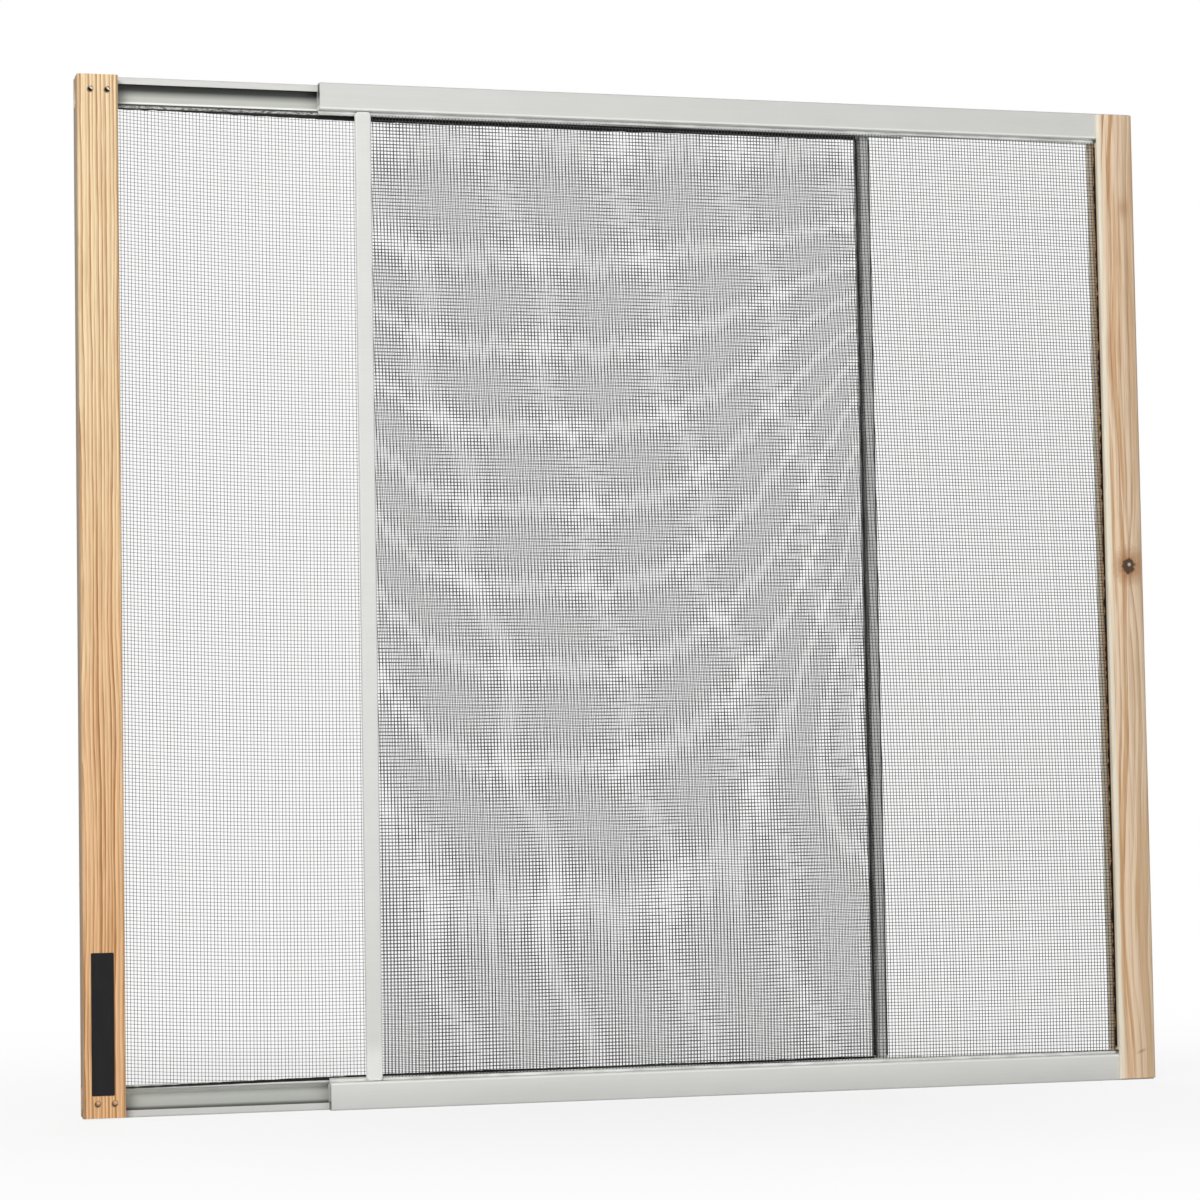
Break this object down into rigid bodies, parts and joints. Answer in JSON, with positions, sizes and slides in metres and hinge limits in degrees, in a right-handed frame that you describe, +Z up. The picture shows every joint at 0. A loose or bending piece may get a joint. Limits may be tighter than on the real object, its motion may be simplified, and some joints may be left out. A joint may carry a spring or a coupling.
{
  "type": "adjustable window screen",
  "caption": "Adjustable window screen: two half-frames with wood stiles, folded steel rails and insect mesh that slide along each other to suit the width of a window opening.",
  "frame": {"origin": "bottom centre of the box around the screen at rest", "axes": "+X along the sill to the right, +Y from the front face to the back, +Z up"},
  "size_m": [0.668, 0.019, 0.6096],
  "materials": {
    "left_wood": "bare straight-grained softwood, sanded",
    "right_wood": "bare flat-sawn softwood, sanded",
    "painted_steel": "warm light grey baked enamel, satin",
    "nail_steel": "bright wire nails, dulled",
    "screen_mesh": "grey vinyl-coated glass yarn",
    "spline_cord": "black extruded vinyl cord"
  },
  "bodies": {
    "rear_half": {"left_wood_stile": "left_wood", "left_stile_nails": "nail_steel", "rear_top_rail": "painted_steel", "rear_bottom_rail": "painted_steel", "rear_end_stile": "painted_steel", "rear_screen_mesh": "screen_mesh", "rear_top_spline": "spline_cord", "rear_bottom_spline": "spline_cord", "left_kerf_spline": "spline_cord"},
    "front_half": {"right_wood_stile": "right_wood", "right_stile_nails": "nail_steel", "front_top_rail": "painted_steel", "front_bottom_rail": "painted_steel", "front_end_stile": "painted_steel", "front_screen_mesh": "screen_mesh", "front_top_spline": "spline_cord", "front_bottom_spline": "spline_cord", "right_kerf_spline": "spline_cord"}
  },
  "joints": [
    {"name": "width_slide", "type": "slide", "parent": "rear_half", "child": "front_half", "axis": [1, 0, 0], "range_m": [-0.12, 0.2718]}
  ]
}
